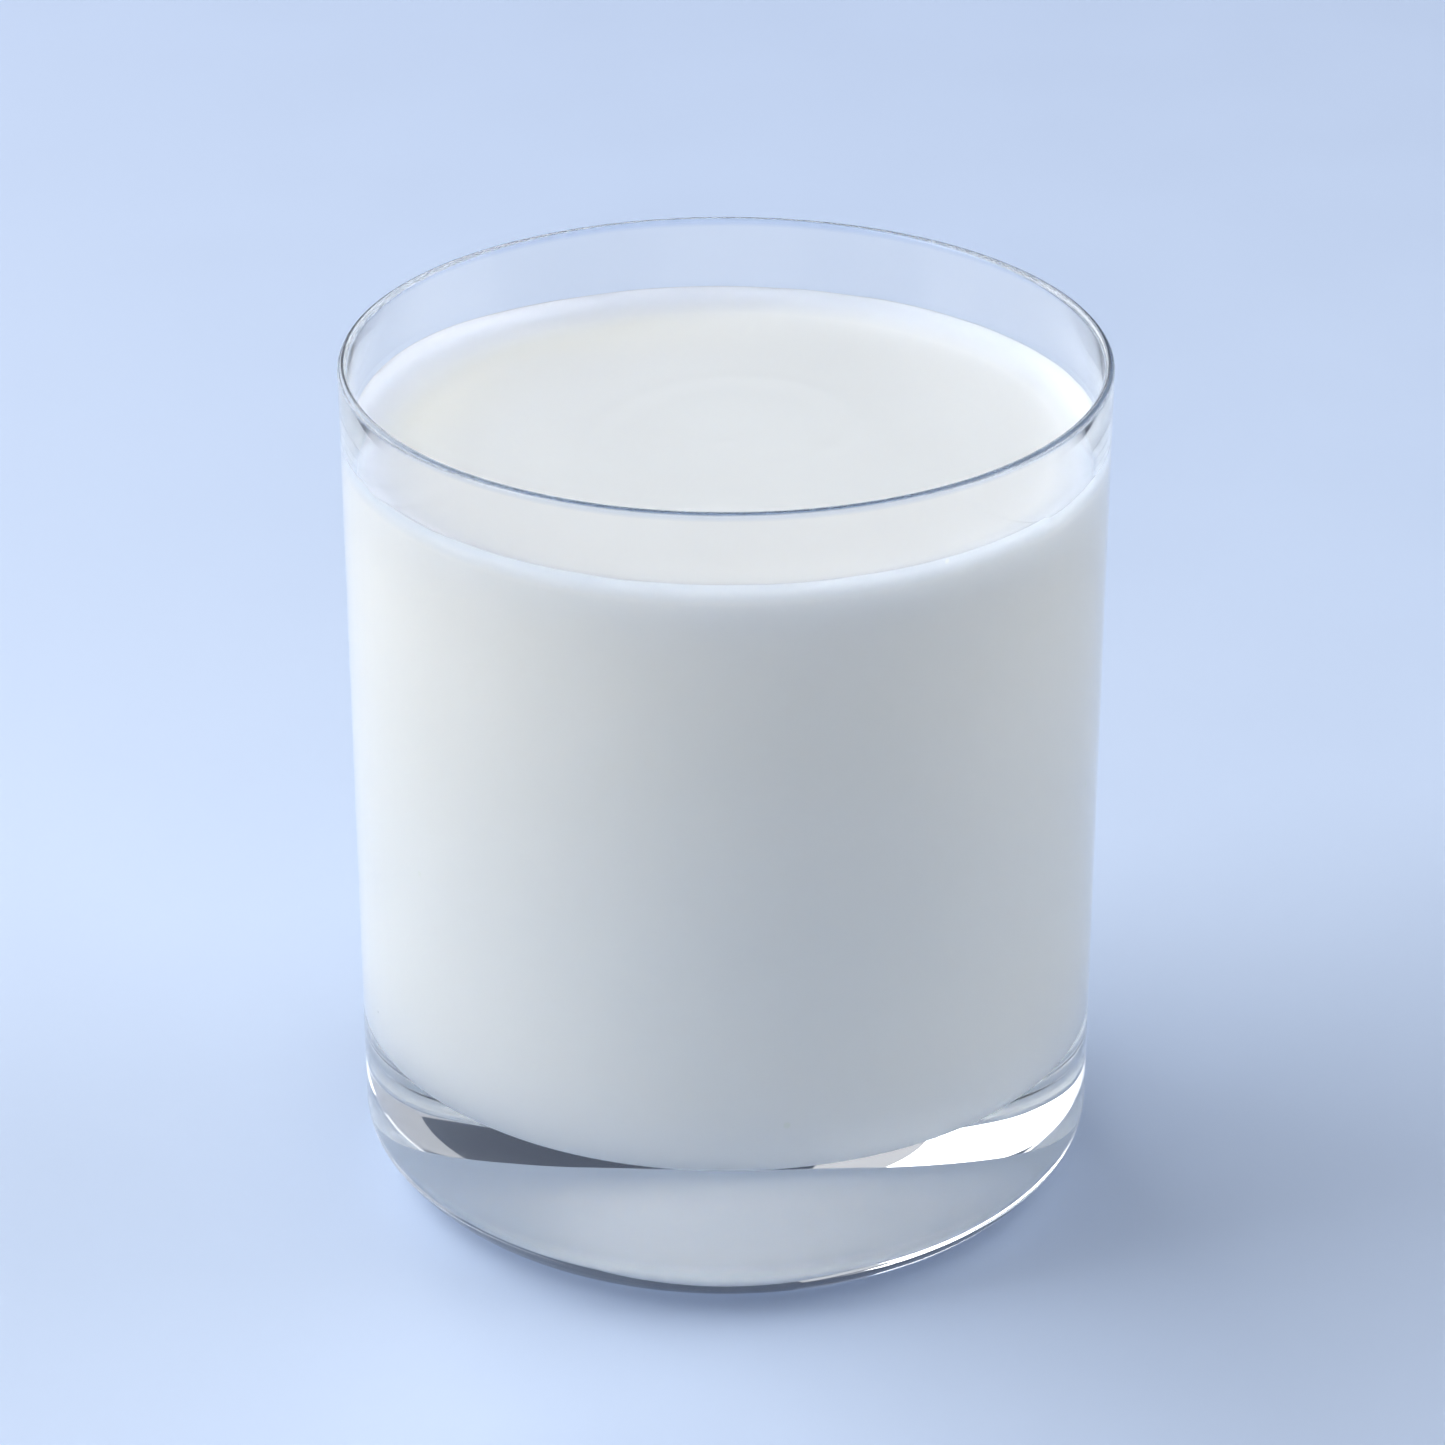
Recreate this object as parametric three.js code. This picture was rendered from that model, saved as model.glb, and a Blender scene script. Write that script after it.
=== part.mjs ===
// Glass of sweet lassi: a nearly straight tumbler with a heavy clear base, filled almost to its rim.
// Units are millimetres and +Z is up. The origin is the middle of the foot, on the ground.
// Everything is round about the Z axis, so each piece is a profile of radius and height, turned once.

import * as THREE from 'three';

// Tumbler: outside
const HEIGHT = 97.2;             // ground to the top of the lip
const RIM_RADIUS = 42;           // outside, at the rim
const FOOT_RADIUS = 40.9;        // outside, where the wall's slope would meet the ground
const HEEL_RADII = [3, 16, 5];   // the heel's three arcs, from the foot up to the wall
const HEEL_SLOPES = [0, 30, 55, 90];  // degrees of slope where those arcs begin and end
const RECESS_RADIUS = 31;        // domed hollow under the foot, inside the ring that it stands on
const RECESS_DEPTH = 5.3;

// Tumbler: inside
const LIP_THICKNESS = 1.1;       // wall at the rim
const LOW_WALL_THICKNESS = 1.9;  // wall just above the base
const BASE_THICKNESS = 17;       // ground to the cavity's floor
const CORNER_RADIUS = 7;         // rounding between the cavity's wall and floor

// Drink
const GAP = 0.3;                 // between drink and glass, everywhere
const HEADROOM = 8.1;            // from the top of the lip down to the line where the drink wets the wall
const MENISCUS_RISE = 1.9;       // how far the drink climbs the wall above its level
const MENISCUS_WIDTH = 1.8;      // distance from the wall in which that climb falls to about a third
const MENISCUS_REACH = 10;       // where the surface counts as level

// Fineness
const SIDES = 96;                // round the axis
const LIP_STEPS = 6;
const CORNER_STEPS = 7;
const HEEL_STEPS = 4;            // along each of the heel's arcs
const RECESS_STEPS = 7;
const MENISCUS_STEPS = 9;

// Points of a round arc in the profile, angles in degrees from the outward direction, anticlockwise.
function arc(centreRadius, centreHeight, radius, fromDegrees, toDegrees, steps) {
  const points = [];
  for (let i = 0; i <= steps; i++) {
    const angle = THREE.MathUtils.degToRad(THREE.MathUtils.lerp(fromDegrees, toDegrees, i / steps));
    const r = centreRadius + radius * Math.cos(angle);
    const z = centreHeight + radius * Math.sin(angle);
    points.push(new THREE.Vector2(r, z));
  }
  return points;
}

// Turns a closed profile about the axis and stands it up along Z.
function turned(profile) {
  const geometry = new THREE.LatheGeometry(profile, SIDES);
  geometry.rotateX(Math.PI / 2);
  return geometry;
}

// Outside and inside radius of the tumbler's wall at a height: both slopes are straight.
function outsideRadius(z) {
  return THREE.MathUtils.lerp(FOOT_RADIUS, RIM_RADIUS, z / HEIGHT);
}

function insideRadius(z) {
  const low = outsideRadius(BASE_THICKNESS) - LOW_WALL_THICKNESS;
  const high = RIM_RADIUS - LIP_THICKNESS;
  return THREE.MathUtils.mapLinear(z, BASE_THICKNESS, HEIGHT, low, high);
}

// Under the foot: a dome out to the ring that the tumbler stands on.
function recessProfile() {
  const points = [];
  for (let i = 0; i <= RECESS_STEPS; i++) {
    const r = RECESS_RADIUS * i / RECESS_STEPS;
    const z = RECESS_DEPTH * (1 - (r / RECESS_RADIUS) ** 2);
    points.push(new THREE.Vector2(r, z));
  }
  return points;
}

// The heel: tangent arcs that turn from the level foot up into the wall, flattest in the middle.
// An arc has the slope s at its point s - 90 degrees. The arcs are drawn from the axis, and then moved
// out until they meet the wall.
function heelProfile() {
  const points = [new THREE.Vector2(0, 0)];
  HEEL_RADII.forEach((radius, i) => {
    const from = HEEL_SLOPES[i];
    const to = HEEL_SLOPES[i + 1];
    const slope = THREE.MathUtils.degToRad(from);
    const start = points.pop();
    const centreRadius = start.x - radius * Math.sin(slope);
    const centreHeight = start.y + radius * Math.cos(slope);
    points.push(...arc(centreRadius, centreHeight, radius, from - 90, to - 90, HEEL_STEPS));
  });
  const top = points.at(-1);
  const outward = outsideRadius(top.y) - top.x;
  return points.map((point) => new THREE.Vector2(point.x + outward, point.y));
}

// From the middle of the foot round the outside, over the lip and down the inside to the axis.
function glassProfile() {
  const lipRadius = LIP_THICKNESS / 2;
  const cornerTop = BASE_THICKNESS + CORNER_RADIUS;
  const cornerCentre = insideRadius(cornerTop) - CORNER_RADIUS;
  return [
    ...recessProfile(),
    ...heelProfile(),
    ...arc(RIM_RADIUS - lipRadius, HEIGHT - lipRadius, lipRadius, 0, 180, LIP_STEPS),
    ...arc(cornerCentre, cornerTop, CORNER_RADIUS, 0, -90, CORNER_STEPS),
    new THREE.Vector2(0, BASE_THICKNESS),
  ];
}

// The drink's surface, from the line where it wets the wall to the level middle.
function meniscusProfile(edgeRadius, contactHeight) {
  const level = contactHeight - MENISCUS_RISE;
  const points = [];
  for (let i = 0; i <= MENISCUS_STEPS; i++) {
    const fromWall = MENISCUS_REACH * (i / MENISCUS_STEPS) ** 2;
    const climb = MENISCUS_RISE * Math.exp(-fromWall / MENISCUS_WIDTH);
    points.push(new THREE.Vector2(edgeRadius - fromWall, level + climb));
  }
  points.push(new THREE.Vector2(0, level));
  return points;
}

// The drink: it follows the cavity, a gap inside it, up to the wetted line, and then its surface.
function lassiProfile() {
  const bottom = BASE_THICKNESS + GAP;
  const cornerTop = BASE_THICKNESS + CORNER_RADIUS;
  const cornerCentre = insideRadius(cornerTop) - CORNER_RADIUS;
  const contactHeight = HEIGHT - HEADROOM;
  const edgeRadius = insideRadius(contactHeight) - GAP;
  return [
    new THREE.Vector2(0, bottom),
    ...arc(cornerCentre, cornerTop, CORNER_RADIUS - GAP, -90, 0, CORNER_STEPS),
    ...meniscusProfile(edgeRadius, contactHeight),
  ];
}

// Clear, colourless glass.
function makeGlass() {
  const material = new THREE.MeshStandardMaterial({
    color: 0xe6ecf4,
    roughness: 0.03,
    metalness: 0,
    transparent: true,
    opacity: 0.35,
  });
  const mesh = new THREE.Mesh(turned(glassProfile()), material);
  mesh.name = 'glass';
  return mesh;
}

// Thick, off-white blended yoghurt.
function makeLassi() {
  const material = new THREE.MeshStandardMaterial({
    color: 0xecefec,
    roughness: 0.35,
    metalness: 0,
  });
  const mesh = new THREE.Mesh(turned(lassiProfile()), material);
  mesh.name = 'lassi';
  return mesh;
}

const glassOfLassi = new THREE.Group();
glassOfLassi.add(makeGlass(), makeLassi());

export default glassOfLassi;
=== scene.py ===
"""Glass of sweet lassi: a heavy-based clear tumbler filled almost to the rim, on a pale blue table."""

import math

import bpy
import numpy as np
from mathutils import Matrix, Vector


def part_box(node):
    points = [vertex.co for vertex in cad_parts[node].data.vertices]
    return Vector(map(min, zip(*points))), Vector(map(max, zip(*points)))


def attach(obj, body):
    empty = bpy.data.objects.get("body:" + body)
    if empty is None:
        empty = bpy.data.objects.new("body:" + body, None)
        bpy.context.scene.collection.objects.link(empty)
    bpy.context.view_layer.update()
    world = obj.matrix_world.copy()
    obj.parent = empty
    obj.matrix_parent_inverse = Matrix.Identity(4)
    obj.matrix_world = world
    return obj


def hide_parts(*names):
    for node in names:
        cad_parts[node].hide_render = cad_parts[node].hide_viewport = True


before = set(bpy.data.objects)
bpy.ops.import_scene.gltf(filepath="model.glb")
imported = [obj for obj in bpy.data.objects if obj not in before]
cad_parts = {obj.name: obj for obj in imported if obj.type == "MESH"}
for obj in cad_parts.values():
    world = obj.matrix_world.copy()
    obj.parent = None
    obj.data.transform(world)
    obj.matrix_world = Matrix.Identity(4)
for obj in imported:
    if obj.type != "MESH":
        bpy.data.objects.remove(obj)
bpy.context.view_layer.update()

MM = 0.001

# The tumbler, in metres: its height and rim come from the frame
GLASS_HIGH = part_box("glass")[1]
HEIGHT = GLASS_HIGH.z
RIM_RADIUS = GLASS_HIGH.x
FOOT_RADIUS = 40.9 * MM
HEEL_RADII = (3 * MM, 16 * MM, 5 * MM)
HEEL_SLOPES = (0, 30, 55, 90)     # degrees where those arcs begin and end
RECESS_RADIUS = 31 * MM
RECESS_DEPTH = 5.3 * MM
LIP_THICKNESS = 1.1 * MM
LOW_WALL_THICKNESS = 1.9 * MM
BASE_THICKNESS = 17 * MM
CORNER_RADIUS = 7 * MM
WAVINESS = 0.035 * MM             # how uneven the pressed outside is
WAVE_LENGTH = 14 * MM

# The drink: the line where it wets the wall comes from the frame
LASSI_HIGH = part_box("lassi")[1]
CONTACT_HEIGHT = LASSI_HIGH.z
CONTACT_DROP = 0.1 * MM           # how much lower the wetted line is set before it is made uneven
BITE = 0.1 * MM                   # how far the drink reaches into the wall, so that no air shows between
MENISCUS_RISE = 1.9 * MM
MENISCUS_WIDTH = 1.8 * MM
LEVEL = CONTACT_HEIGHT - MENISCUS_RISE

# Where the wetted line has a notch, a step and a swell: degrees from +X, anticlockwise from above
NOTCH_ANGLE = 207
STEP_ANGLE = 324
SWELL_ANGLE = 150

# Fineness and chance
SEGMENTS = 720                    # round the axis
SEED = 7

# The camera: distance and lens as fitted to the photograph's rim, sides and foot
CAMERA_DISTANCE = 16.46 * RIM_RADIUS
CAMERA_ELEVATION = math.radians(26.26)
CAMERA_PITCH = math.radians(25.915)
CAMERA_YAW = math.radians(0.035)
PICTURE_SIZE = 1445               # pixels, both ways
FOCAL_PIXELS = 6198
SENSOR_WIDTH = 36                 # millimetres

# Optics
GLASS_IOR = 1.5
DRINK_IOR = 1.36
LIP_ROUGHNESS = 0.22
SCATTER_DISTANCE = 6 * MM
SCATTER_SPREAD = (0.8, 0.87, 1.0)

# Colours of the glass, as linear red, green and blue
GLASS_WALL = (1.0, 0.985, 0.965)
GLASS_BASE = (0.995, 0.995, 1.0)
# The lip's tint and the dark lines on the lip and heel are painted shade, standing in for refraction
# there
LIP_PAINTED_SHADE = (0.74, 0.81, 0.93)
LIP_LINE_PAINTED_SHADE = (0.12, 0.18, 0.31)
HEEL_LINE_PAINTED_SHADE = (0.13, 0.17, 0.26)

# Colours of the drink's free surface
SURFACE_PALE = (0.862, 0.89, 0.898)
SURFACE_DEEP = (0.852, 0.876, 0.883)
# A yellowish tint for a band at the far left of the surface
FAR_LEFT_TINT = (0.87, 0.885, 0.85)
SPECK = (0.70, 0.72, 0.64)
# Painted shade close to the wall, darker on the right
LEFT_WALL_PAINTED_SHADE = (0.79, 0.81, 0.86)
RIGHT_WALL_PAINTED_SHADE = (0.64, 0.69, 0.76)

# Colours of the drink's wetted side
SIDE_PALE = (0.905, 0.898, 0.86)
SIDE_DEEP = (0.895, 0.888, 0.845)
SIDE_LOW = (0.872, 0.88, 0.862)
# Painted shade just below the wetted line
SIDE_EDGE_PAINTED_SHADE = (0.72, 0.765, 0.81)
BUBBLE = (0.84, 0.86, 0.80)
MARK = (0.45, 0.47, 0.45)

# Colours of the surroundings
TABLE_PALE = (0.625, 0.735, 0.935)
TABLE_DEEP = (0.605, 0.72, 0.925)
# Painted shade that makes the table darker further back
TABLE_FAR_PAINTED_SHADE = (0.54, 0.645, 0.85)
ROOM = (0.05, 0.06, 0.088)
LIGHT = (0.985, 0.995, 1)
LIGHT_DISTANCE = 3.0


# Profiles

def lerp(a, b, t):
    return a + (b - a) * t


def arc(centre_radius, centre_height, radius, from_degrees, to_degrees, steps):
    """Points of a round arc in the profile, angles from the outward direction, anticlockwise."""
    angles = np.radians(np.linspace(from_degrees, to_degrees, steps + 1))
    return list(zip(centre_radius + radius * np.cos(angles), centre_height + radius * np.sin(angles)))


def outside_radius(z):
    return lerp(FOOT_RADIUS, RIM_RADIUS, z / HEIGHT)


def inside_radius(z):
    low = outside_radius(BASE_THICKNESS) - LOW_WALL_THICKNESS
    high = RIM_RADIUS - LIP_THICKNESS
    return lerp(low, high, (z - BASE_THICKNESS) / (HEIGHT - BASE_THICKNESS))


def straight(start, end, steps):
    """Points along a line, without its two ends."""
    shares = [i / steps for i in range(1, steps)]
    return [(lerp(start[0], end[0], t), lerp(start[1], end[1], t)) for t in shares]


def recess_profile(steps=16):
    radii = np.linspace(0, RECESS_RADIUS, steps + 1)
    return [(r, RECESS_DEPTH * (1 - (r / RECESS_RADIUS) ** 2)) for r in radii]


def heel_profile(steps=8):
    """Tangent arcs from the level foot up into the wall.

    An arc has the slope s at its point s - 90 degrees. The arcs are drawn from the axis, and then moved
    out until they meet the wall.
    """
    points = [(0, 0)]
    for radius, start, end in zip(HEEL_RADII, HEEL_SLOPES, HEEL_SLOPES[1:]):
        r, z = points.pop()
        slope = math.radians(start)
        centre = (r - radius * math.sin(slope), z + radius * math.cos(slope))
        points += arc(*centre, radius, start - 90, end - 90, steps)
    outward = outside_radius(points[-1][1]) - points[-1][0]
    return [(r + outward, z) for r, z in points]


def corner_arc(reach, from_degrees, to_degrees, steps=16):
    """The rounding between the cavity's wall and floor, set deeper into the glass by a reach."""
    top = BASE_THICKNESS + CORNER_RADIUS
    centre = inside_radius(top) - CORNER_RADIUS
    return arc(centre, top, CORNER_RADIUS + reach, from_degrees, to_degrees, steps)


def glass_profile():
    """From the middle of the foot round the outside, over the lip and down the inside to the axis."""
    lip = LIP_THICKNESS / 2
    heel = heel_profile()
    rim = arc(RIM_RADIUS - lip, HEIGHT - lip, lip, 0, 180, 18)
    corner = corner_arc(0, 0, -90)
    middle = (0, BASE_THICKNESS)
    return (
        recess_profile()
        + heel
        + straight(heel[-1], rim[0], 18)
        + rim
        + straight(rim[-1], corner[0], 6)
        + corner
        + straight(corner[-1], middle, 4)
        + [middle]
    )


def lassi_side_profile():
    """The drink's wetted side, from the axis at the cavity's floor up to where it meets the wall."""
    middle = (0, BASE_THICKNESS - BITE)
    corner = corner_arc(BITE, -90, 0)
    edge = (inside_radius(CONTACT_HEIGHT) + BITE, CONTACT_HEIGHT)
    return (
        [middle]
        + straight(middle, corner[0], 4)
        + corner
        + straight(corner[-1], edge, 24)
        + [edge]
    )


def lassi_top_profile(rings=80):
    """The drink's free surface, from the wall to the axis: closely spaced rings in the meniscus."""
    edge = inside_radius(CONTACT_HEIGHT)
    points = []
    for i in range(rings + 1):
        from_wall = edge * (i / rings) ** 1.6
        climb = MENISCUS_RISE * math.exp(-from_wall / MENISCUS_WIDTH)
        points.append((edge - from_wall, LEVEL + climb))
    return points


# Unevenness

def waves(points, wave_length, seed, count=8):
    """A smooth field from about -1 to 1 over the points: sines in random directions."""
    random = np.random.default_rng(seed)
    total = np.zeros(points.shape[:-1])
    for _ in range(count):
        direction = random.normal(size=3)
        direction /= np.linalg.norm(direction)
        pitch = wave_length * random.uniform(0.7, 1.5)
        total += np.sin(points @ direction * (2 * math.pi / pitch) + random.uniform(0, 2 * math.pi))
    return total / math.sqrt(2 * count)


def smooth_step(low, high, x):
    t = np.clip((x - low) / (high - low), 0, 1)
    return t * t * (3 - 2 * t)


def gauss(x, width):
    return np.exp(-((x / width) ** 2))


def flattened(rings):
    return rings * np.array([1, 1, 0])


def angle_from(points, degrees):
    """How far points lie round the axis from a direction, in degrees."""
    angle = np.degrees(np.arctan2(points[..., 1], points[..., 0]))
    return (angle - degrees + 180) % 360 - 180


def make_glass_uneven(rings, outside_rows):
    """Pressed glass isn't true: the wall's outside wavers inwards only, and the recess upwards only."""
    outside = rings[:outside_rows]
    z = outside[..., 2]
    r = np.hypot(outside[..., 0], outside[..., 1])
    wave = 0.5 + 0.5 * np.clip(waves(outside, WAVE_LENGTH, SEED), -1, 1)
    above_heel = smooth_step(4 * MM, 12 * MM, z)
    below_lip = smooth_step(HEIGHT - 1 * MM, HEIGHT - 6 * MM, z)
    on_wall = above_heel * below_lip * (r > RECESS_RADIUS + 1 * MM)
    in_recess = smooth_step(RECESS_RADIUS, RECESS_RADIUS - 8 * MM, r)
    inward = 1 - on_wall * wave * WAVINESS / r.clip(1 * MM)
    outside[..., 0] *= inward
    outside[..., 1] *= inward
    outside[..., 2] += in_recess * wave * WAVINESS


def contact_wobble(rings):
    """How much higher or lower than the solid's line the drink wets the wall, round the rim."""
    around = flattened(rings)
    wobble = 0.10 * MM * waves(around, 40 * MM, SEED + 1)
    wobble += 0.05 * MM * waves(around, 9 * MM, SEED + 2)
    from_notch = angle_from(rings, NOTCH_ANGLE)
    notch = -0.25 * MM * gauss(from_notch, 2.2) + 0.15 * MM * gauss(from_notch + 5, 2)
    from_step = angle_from(rings, STEP_ANGLE)
    step = -0.35 * MM * smooth_step(0, 1.5, from_step) * smooth_step(16, 3, from_step)
    swell = 1.0 * MM * gauss(angle_from(rings, SWELL_ANGLE), 24)
    return wobble + notch + step + swell - CONTACT_DROP


def surface_relief(rings):
    """The slow swirl left by pouring: an arc-shaped ridge, a dimple inside it and gentle undulation."""
    x, y = rings[..., 0], rings[..., 1]
    relief = 0.04 * MM * waves(flattened(rings), 26 * MM, SEED + 3)
    ridge_radius = 13 * MM + 2 * MM * np.sin(np.arctan2(y, x) * 2 + 0.6)
    from_ridge = np.hypot(x + 1 * MM, (y - 4 * MM) * 0.85) - ridge_radius
    fade = smooth_step(-11 * MM, 6 * MM, y)
    relief += 0.05 * MM * gauss(from_ridge, 1.2 * MM) * fade
    relief -= 0.03 * MM * gauss(from_ridge + 2.5 * MM, 2 * MM) * fade
    relief -= 0.03 * MM * gauss(np.hypot(x + 1.5 * MM, y - 3 * MM), 3 * MM)
    relief += 0.04 * MM * gauss(np.hypot(x - 10.5 * MM, y + 1.5 * MM), 2 * MM)
    return relief


def make_lassi_uneven(rings, wetted_rows):
    """Moves the wetted edge up and down along the wall and lays the relief on the free surface."""
    z = rings[:wetted_rows, :, 2]
    near_edge = smooth_step(CONTACT_HEIGHT - 8 * MM, CONTACT_HEIGHT, z)
    rings[:wetted_rows, :, 2] += near_edge * contact_wobble(rings[:wetted_rows])
    top = rings[wetted_rows:]
    from_wall = inside_radius(CONTACT_HEIGHT) - np.hypot(top[..., 0], top[..., 1])
    climb = np.exp(-from_wall / (2 * MENISCUS_WIDTH))
    top[..., 2] += climb * contact_wobble(top)
    top[..., 2] += smooth_step(1 * MM, 6 * MM, from_wall) * surface_relief(top)


# Meshes

def revolve(profile):
    """The profile's points off the axis, turned: an array of row, segment and coordinate."""
    angles = np.arange(SEGMENTS) * (2 * math.pi / SEGMENTS)
    r = np.array([point[0] for point in profile[1:-1]])[:, None]
    z = np.array([point[1] for point in profile[1:-1]])[:, None]
    return np.stack([r * np.cos(angles), r * np.sin(angles), z * np.ones(SEGMENTS)], axis=2)


def ring_faces(rows):
    """Faces between rows of points, with a point on the axis before the first row and after the last."""
    here = np.arange(SEGMENTS)
    after = (here + 1) % SEGMENTS
    first = np.stack([np.zeros(SEGMENTS, int), 1 + after, 1 + here], 1).tolist()
    quads = []
    for row in range(rows - 1):
        low = 1 + row * SEGMENTS
        high = low + SEGMENTS
        quads += np.stack([low + here, low + after, high + after, high + here], 1).tolist()
    end = 1 + (rows - 1) * SEGMENTS
    last = np.stack([end + here, end + after, np.full(SEGMENTS, end + SEGMENTS)], 1).tolist()
    return first + quads + last


def closed_mesh(name, bottom, rings, top, materials, first_row_of_second=None):
    """A closed, smooth body from rings of points and the two points on the axis that close it."""
    points = np.concatenate([[(0, 0, bottom)], rings.reshape(-1, 3), [(0, 0, top)]])
    mesh = bpy.data.meshes.new(name)
    mesh.from_pydata(points.tolist(), [], ring_faces(len(rings)))
    for material in materials:
        mesh.materials.append(material)
    if first_row_of_second is not None:
        faces_before = first_row_of_second * SEGMENTS
        slots = (np.arange(len(mesh.polygons)) >= faces_before).astype(int)
        mesh.polygons.foreach_set("material_index", slots.tolist())
    mesh.polygons.foreach_set("use_smooth", [True] * len(mesh.polygons))
    mesh.update()
    piece = bpy.data.objects.new(name, mesh)
    bpy.context.scene.collection.objects.link(piece)
    return piece


# Shader nodes

def new_material(name):
    material = bpy.data.materials.new(name)
    material.use_nodes = True
    tree = material.node_tree
    return material, tree, tree.nodes["Principled BSDF"]


def add_node(tree, kind, **inputs):
    """A node with some of its inputs set or, where the value is another node's socket, linked."""
    node = tree.nodes.new(kind)
    for name, value in inputs.items():
        socket = node.inputs[name.replace("_", " ")]
        if isinstance(value, bpy.types.NodeSocket):
            tree.links.new(value, socket)
        else:
            socket.default_value = value
    return node


def object_place(tree):
    return tree.nodes.new("ShaderNodeTexCoord").outputs["Object"]


def coordinate(tree, place, axis):
    return add_node(tree, "ShaderNodeSeparateXYZ", Vector=place).outputs[axis]


def distance_from_axis(tree, place):
    x = coordinate(tree, place, "X")
    y = coordinate(tree, place, "Y")
    level = add_node(tree, "ShaderNodeCombineXYZ", X=x, Y=y)
    length = tree.nodes.new("ShaderNodeVectorMath")
    length.operation = "LENGTH"
    tree.links.new(level.outputs["Vector"], length.inputs[0])
    return length.outputs["Value"]


def noise(tree, place, scale, detail=3.0, roughness=0.5):
    node = add_node(tree, "ShaderNodeTexNoise", Vector=place, Scale=scale, Detail=detail)
    node.inputs["Roughness"].default_value = roughness
    return node.outputs["Fac"]


def map_range(tree, value, from_low, from_high, to_low, to_high):
    node = tree.nodes.new("ShaderNodeMapRange")
    node.inputs["From Min"].default_value = from_low
    node.inputs["From Max"].default_value = from_high
    node.inputs["To Min"].default_value = to_low
    node.inputs["To Max"].default_value = to_high
    tree.links.new(value, node.inputs["Value"])
    return node.outputs["Result"]


def mix_colours(tree, factor, colour_a, colour_b):
    """Blends two colours, each given as red, green and blue or as another node's socket."""
    node = tree.nodes.new("ShaderNodeMix")
    node.data_type = "RGBA"
    tree.links.new(factor, node.inputs["Factor"])
    for socket, value in zip((node.inputs[6], node.inputs[7]), (colour_a, colour_b)):
        if isinstance(value, bpy.types.NodeSocket):
            tree.links.new(value, socket)
        else:
            socket.default_value = (*value, 1)
    return node.outputs[2]


def calculate(tree, operation, a, b):
    node = tree.nodes.new("ShaderNodeMath")
    node.operation = operation
    tree.links.new(a, node.inputs[0])
    tree.links.new(b, node.inputs[1])
    return node.outputs[0]


def multiply(tree, a, b):
    return calculate(tree, "MULTIPLY", a, b)


def flecks(tree, place, cell, radius, share):
    """A mask of small round spots: one in each random cell of the given share, sizes in metres."""
    voronoi = add_node(tree, "ShaderNodeTexVoronoi", Vector=place, Scale=1 / cell)
    inside = map_range(tree, voronoi.outputs["Distance"], 0.6 * radius / cell, radius / cell, 1, 0)
    separate = add_node(tree, "ShaderNodeSeparateColor", Color=voronoi.outputs["Color"])
    chosen = map_range(tree, separate.outputs["Red"], 1 - share, 1 - share + 0.01, 0, 1)
    return multiply(tree, inside, chosen)


def bump(tree, height, distance, strength=1.0):
    node = add_node(tree, "ShaderNodeBump", Height=height, Distance=distance, Strength=strength)
    return node.outputs["Normal"]


def clouded(tree, place, pale, deep):
    """A colour that is a little deeper in slow clouds."""
    clouds = map_range(tree, noise(tree, place, 60, detail=4, roughness=0.6), 0.35, 0.65, 0, 1)
    return mix_colours(tree, clouds, pale, deep)


# Glass

def lip_mask(tree, place):
    return map_range(tree, coordinate(tree, place, "Z"), HEIGHT - 0.9 * MM, HEIGHT - 0.5 * MM, 0, 1)


def lip_line_painted_shade(tree, place):
    """A mask of the painted shade along the lip's outer top: a thin dark line where its curve turns the
    light away.
    """
    height = coordinate(tree, place, "Z")
    high = map_range(tree, height, HEIGHT - 0.26 * MM, HEIGHT - 0.14 * MM, 0, 1)
    middle = RIM_RADIUS - LIP_THICKNESS / 2
    outward = map_range(tree, distance_from_axis(tree, place), middle, middle + 0.1 * MM, 0, 1)
    return multiply(tree, high, outward)


def heel_line_painted_shade(tree, place):
    """A mask of the painted shade low on the heel, from the foot up: a dark line that stands in for
    refraction there.
    """
    low = map_range(tree, coordinate(tree, place, "Z"), 2.9 * MM, 1.9 * MM, 0, 1)
    outward = map_range(tree, distance_from_axis(tree, place), 34 * MM, 35 * MM, 0, 1)
    return multiply(tree, low, outward)


def glass_colour(tree, place):
    """Nearly colourless: the lip's tint and the dark lines at lip and heel are painted shade that stands
    in for refraction there.
    """
    height = coordinate(tree, place, "Z")
    low = map_range(tree, height, BASE_THICKNESS + 12 * MM, BASE_THICKNESS, 0, 1)
    body = mix_colours(tree, low, GLASS_WALL, GLASS_BASE)
    lip_shaded = mix_colours(tree, lip_mask(tree, place), body, LIP_PAINTED_SHADE)
    lip_line_shaded = mix_colours(tree, lip_line_painted_shade(tree, place), lip_shaded, LIP_LINE_PAINTED_SHADE)
    return mix_colours(tree, heel_line_painted_shade(tree, place), lip_line_shaded, HEEL_LINE_PAINTED_SHADE)


def glass_roughness(tree, place):
    """Polished, with faint finger marks and a slightly dull lip."""
    smudge = noise(tree, place, 45, detail=5, roughness=0.65)
    smudged = map_range(tree, smudge, 0.62, 0.8, 0.0, 0.03)
    dull = map_range(tree, lip_mask(tree, place), 0, 1, 0, LIP_ROUGHNESS)
    return calculate(tree, "MAXIMUM", smudged, dull)


def glass_material():
    """Clear pressed glass with a faint ripple."""
    material, tree, shader = new_material("clear_glass")
    shader.inputs["IOR"].default_value = GLASS_IOR
    shader.inputs["Transmission Weight"].default_value = 1.0
    place = object_place(tree)
    tree.links.new(glass_colour(tree, place), shader.inputs["Base Color"])
    tree.links.new(glass_roughness(tree, place), shader.inputs["Roughness"])
    ripple = bump(tree, noise(tree, place, 90, detail=1), 0.02 * MM)
    tree.links.new(ripple, shader.inputs["Normal"])
    return material


# Drink

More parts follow.
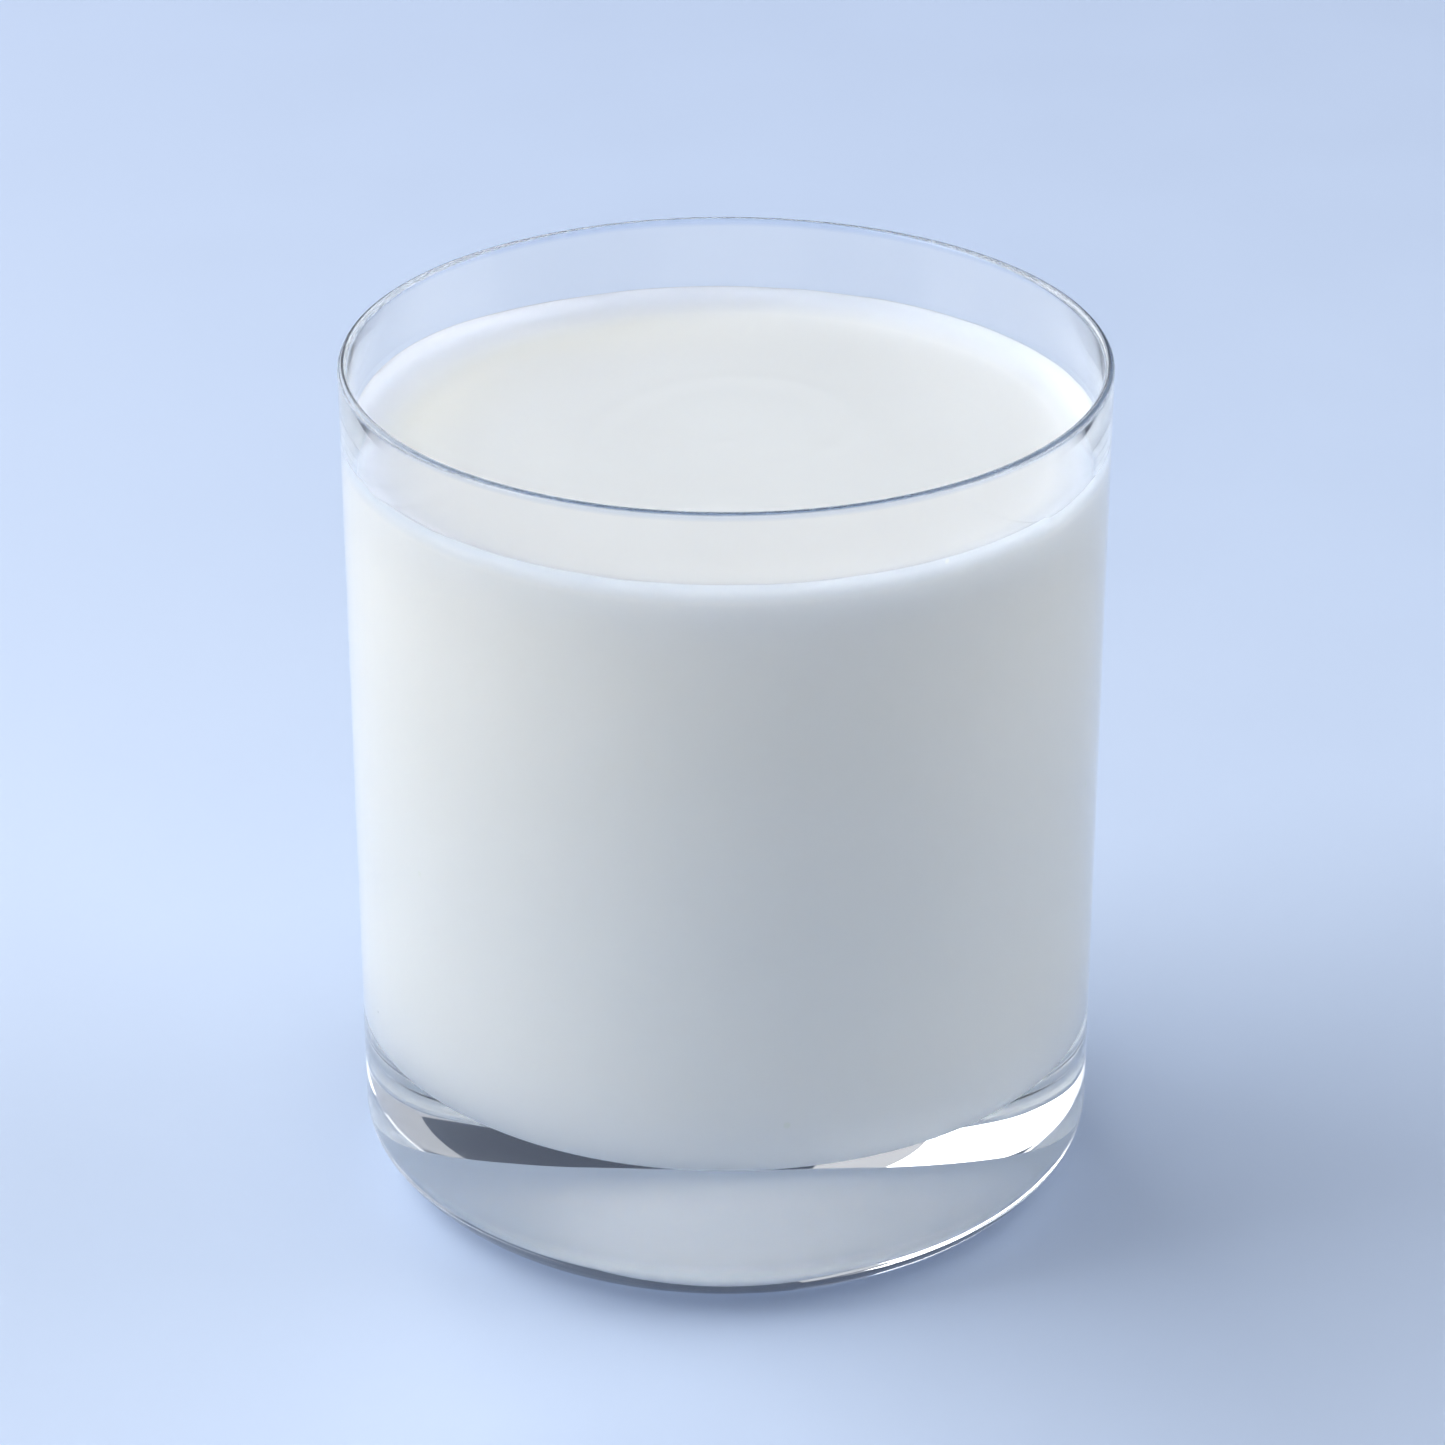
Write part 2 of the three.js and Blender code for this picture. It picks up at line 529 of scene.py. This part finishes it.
def far_left_band(tree, place):
    """A mask of a yellowish band a little way in from the wall, at the far left."""
    radius = distance_from_axis(tree, place)
    outer = map_range(tree, radius, 37.5 * MM, 35 * MM, 0, 1)
    inner = map_range(tree, radius, 24 * MM, 33 * MM, 0, 1)
    leftward = map_range(tree, coordinate(tree, place, "X"), 8 * MM, -20 * MM, 0, 1)
    backward = map_range(tree, coordinate(tree, place, "Y"), -8 * MM, 6 * MM, 0, 1)
    band = multiply(tree, multiply(tree, outer, inner), multiply(tree, leftward, backward))
    patchy = map_range(tree, noise(tree, place, 80, detail=3), 0.3, 0.6, 0.5, 1)
    return multiply(tree, band, patchy)


def surface_colour(tree, place):
    """Off-white with a yellowish band at the far left and a few specks, and painted shade close to the
    wall.
    """
    white = clouded(tree, place, SURFACE_PALE, SURFACE_DEEP)
    far_left_tinted = mix_colours(tree, far_left_band(tree, place), white, FAR_LEFT_TINT)
    # Painted shade close to the wall, darker on the right where the key light strikes the meniscus
    rightward = map_range(tree, coordinate(tree, place, "X"), -30 * MM, 30 * MM, 0, 1)
    edge = mix_colours(tree, rightward, LEFT_WALL_PAINTED_SHADE, RIGHT_WALL_PAINTED_SHADE)
    wall = inside_radius(CONTACT_HEIGHT)
    near_wall = map_range(tree, distance_from_axis(tree, place), wall - 4 * MM, wall - 0.5 * MM, 0, 1)
    edge_shaded = mix_colours(tree, near_wall, far_left_tinted, edge)
    speck = flecks(tree, place, 9 * MM, 0.25 * MM, 0.08)
    return mix_colours(tree, speck, edge_shaded, SPECK)


def lassi_surface_material():
    """The free surface: wet, with a satin skin."""
    material, tree, shader = new_material("lassi_surface")
    place = object_place(tree)
    tree.links.new(surface_colour(tree, place), shader.inputs["Base Color"])
    skin = map_range(tree, noise(tree, place, 120, detail=2), 0.2, 0.8, 0.2, 0.26)
    tree.links.new(skin, shader.inputs["Roughness"])
    shader.inputs["IOR"].default_value = DRINK_IOR
    set_scattering(shader)
    grain = bump(tree, noise(tree, place, 260, detail=2), 0.02 * MM, 0.3)
    tree.links.new(grain, shader.inputs["Normal"])
    return material


def side_colour(tree, place):
    """Off-white, cooler low down, with painted shade just below its upper edge and small trapped bubbles
    and marks.
    """
    height = coordinate(tree, place, "Z")
    white = clouded(tree, place, SIDE_PALE, SIDE_DEEP)
    low = map_range(tree, height, 75 * MM, 45 * MM, 0, 1)
    cooled = mix_colours(tree, low, white, SIDE_LOW)
    # Painted shade just below the wetted line, toning down the glow of the scattered light there
    edge_low, edge_high = CONTACT_HEIGHT - 2.4 * MM, CONTACT_HEIGHT - 0.6 * MM
    near_edge = map_range(tree, height, edge_low, edge_high, 0, 1)
    edge_shaded = mix_colours(tree, near_edge, cooled, SIDE_EDGE_PAINTED_SHADE)
    bubble = flecks(tree, place, 8 * MM, 0.5 * MM, 0.2)
    spotted = mix_colours(tree, bubble, edge_shaded, BUBBLE)
    mark = flecks(tree, place, 12 * MM, 0.16 * MM, 0.2)
    return mix_colours(tree, mark, spotted, MARK)


def lassi_wetted_material():
    """The side, seen through the wall that it wets, so it has no gloss of its own."""
    material, tree, shader = new_material("lassi_wetted")
    tree.links.new(side_colour(tree, object_place(tree)), shader.inputs["Base Color"])
    shader.inputs["Roughness"].default_value = 0.5
    shader.inputs["IOR"].default_value = DRINK_IOR
    shader.inputs["Specular IOR Level"].default_value = 0.0
    set_scattering(shader)
    return material


def set_scattering(shader):
    shader.subsurface_method = "BURLEY"
    shader.inputs["Subsurface Weight"].default_value = 1.0
    shader.inputs["Subsurface Radius"].default_value = SCATTER_SPREAD
    shader.inputs["Subsurface Scale"].default_value = SCATTER_DISTANCE


# Table

def floor_material():
    """A smooth pale blue table top with a faint mottle, and painted shade that makes it a little darker
    further back.
    """
    material, tree, shader = new_material("pale_table")
    place = object_place(tree)
    mottle = map_range(tree, noise(tree, place, 9, detail=5), 0.3, 0.7, 0, 1)
    near = mix_colours(tree, mottle, TABLE_DEEP, TABLE_PALE)
    # Painted shade: the table a little darker further back
    far_shade = map_range(tree, coordinate(tree, place, "Y"), 120 * MM, 400 * MM, 0, 1)
    tree.links.new(mix_colours(tree, far_shade, near, TABLE_FAR_PAINTED_SHADE), shader.inputs["Base Color"])
    satin = map_range(tree, noise(tree, place, 30, detail=4), 0.3, 0.7, 0.5, 0.62)
    tree.links.new(satin, shader.inputs["Roughness"])
    shader.inputs["Specular IOR Level"].default_value = 0.3
    return material


# Pieces

def make_glass():
    profile = glass_profile()
    rings = revolve(profile)
    outside_rows = next(i for i, point in enumerate(profile[1:-1]) if point[1] >= HEIGHT)
    make_glass_uneven(rings, outside_rows)
    tumbler = closed_mesh("tumbler", profile[0][1], rings, profile[-1][1], [glass_material()])
    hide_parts("glass")
    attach(tumbler, "root")


def make_lassi():
    side = lassi_side_profile()
    profile = side + lassi_top_profile()
    rings = revolve(profile)
    wetted_rows = len(side) - 1
    make_lassi_uneven(rings, wetted_rows)
    materials = [lassi_wetted_material(), lassi_surface_material()]
    drink = closed_mesh("drink", side[0][1], rings, profile[-1][1], materials, wetted_rows)
    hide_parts("lassi")
    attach(drink, "root")


def make_floor():
    """Just under the foot, so that the two don't coincide."""
    bpy.ops.mesh.primitive_plane_add(size=4, location=(0, 0, -0.05 * MM))
    floor = bpy.context.object
    floor.name = "floor"
    floor.data.materials.append(floor_material())


# Camera and light

def make_camera():
    data = bpy.data.cameras.new("camera")
    data.sensor_width = SENSOR_WIDTH
    data.lens = FOCAL_PIXELS / PICTURE_SIZE * SENSOR_WIDTH
    camera = bpy.data.objects.new("camera", data)
    bpy.context.scene.collection.objects.link(camera)
    camera.location = (
        0,
        -CAMERA_DISTANCE * math.cos(CAMERA_ELEVATION),
        HEIGHT / 2 + CAMERA_DISTANCE * math.sin(CAMERA_ELEVATION),
    )
    camera.rotation_euler = (math.pi / 2 - CAMERA_PITCH, 0, CAMERA_YAW)
    bpy.context.scene.camera = camera


def softbox(name, azimuth, elevation, width, height, radiance):
    """An area light that faces the glass, at angles in degrees.

    Azimuth 0 is behind the glass as the camera sees it, and 90 is to the left.
    """
    data = bpy.data.lights.new(name, "AREA")
    data.shape = "RECTANGLE"
    data.size = width
    data.size_y = height
    data.energy = radiance * width * height * math.pi
    data.color = LIGHT
    light = bpy.data.objects.new(name, data)
    bpy.context.scene.collection.objects.link(light)
    a, e = math.radians(azimuth), math.radians(elevation)
    direction = np.array([-math.sin(a) * math.cos(e), math.cos(a) * math.cos(e), math.sin(e)])
    light.location = direction * LIGHT_DISTANCE
    light.rotation_euler = (math.pi / 2 - e, 0, math.pi + a)


def make_lights():
    """Most of the light comes from the left. The window is what the base shows at its right end."""
    softbox("key_low", 86, 24.5, 3.3, 1.6, 2.3)
    softbox("key_high", 86, 48, 2.6, 1.6, 3.1)
    softbox("key_front", 118, 22, 2.4, 1.6, 1.3)
    softbox("window", 36.6, 27, 1.98, 1.4, 4.2)
    softbox("window_side", 13.2, 27, 0.54, 1.4, 0.6)
    softbox("back_glow", 308, 27, 1.6, 1.4, 0.4)
    softbox("front", 180, 30, 2.4, 1.6, 1.3)
    softbox("right_low", 275, 18, 2.0, 1.4, 3.1)
    softbox("right_high", 275, 50, 2.4, 1.6, 1.2)


def make_world():
    world = bpy.data.worlds.new("room")
    world.use_nodes = True
    world.node_tree.nodes["Background"].inputs["Color"].default_value = (*ROOM, 1)
    bpy.context.scene.world = world


def set_render():
    """Enough bounces for the thick base, and no softening of paths that pass through glass."""
    scene = bpy.context.scene
    scene.view_settings.view_transform = "Standard"
    scene.cycles.use_denoising = True
    scene.cycles.max_bounces = 16
    scene.cycles.transmission_bounces = 16
    scene.cycles.diffuse_bounces = 5
    scene.cycles.glossy_bounces = 8
    scene.cycles.sample_clamp_indirect = 10
    scene.cycles.blur_glossy = 0.0


make_camera()
make_glass()
make_lassi()
make_floor()
make_world()
make_lights()
set_render()
